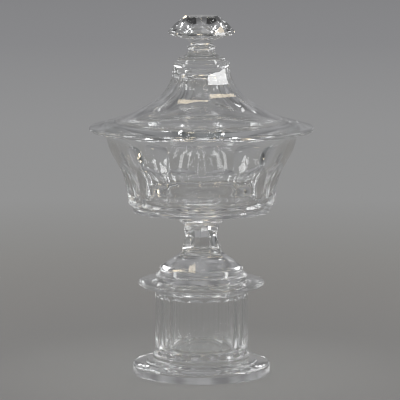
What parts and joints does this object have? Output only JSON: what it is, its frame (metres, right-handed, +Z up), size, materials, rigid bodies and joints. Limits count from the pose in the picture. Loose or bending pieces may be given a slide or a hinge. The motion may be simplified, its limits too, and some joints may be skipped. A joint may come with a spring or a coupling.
{
  "type": "covered bowl",
  "caption": "Cut-glass covered bowl on a stem and stepped foot, standing on a loose hollow fluted pedestal, with a lift-off bell-shaped lid and a faceted knob.",
  "frame": {"origin": "middle of the pedestal's underside, on the surface that it stands on", "axes": "+Z up along the common axis of the pedestal, bowl and lid; -Y is the side that the picture shows"},
  "size_m": [0.1812, 0.1812, 0.2903],
  "materials": {
    "cut_glass": "clear colourless, fire-polished with ground and polished cuts"
  },
  "bodies": {
    "pedestal": {"pedestal_base": "cut_glass", "pedestal_column": "cut_glass"},
    "bowl": {"foot": "cut_glass", "stem": "cut_glass", "stem_collar": "cut_glass", "bowl": "cut_glass"},
    "lid": {"lid": "cut_glass", "lid_collar": "cut_glass", "lid_knob": "cut_glass"}
  },
  "joints": [
    {"name": "bowl_lift", "type": "slide", "parent": "pedestal", "child": "bowl", "axis": [0, 0, 1], "range_m": [0, 0.06]},
    {"name": "lid_lift", "type": "slide", "parent": "bowl", "child": "lid", "axis": [0, 0, 1], "range_m": [0, 0.1]}
  ]
}
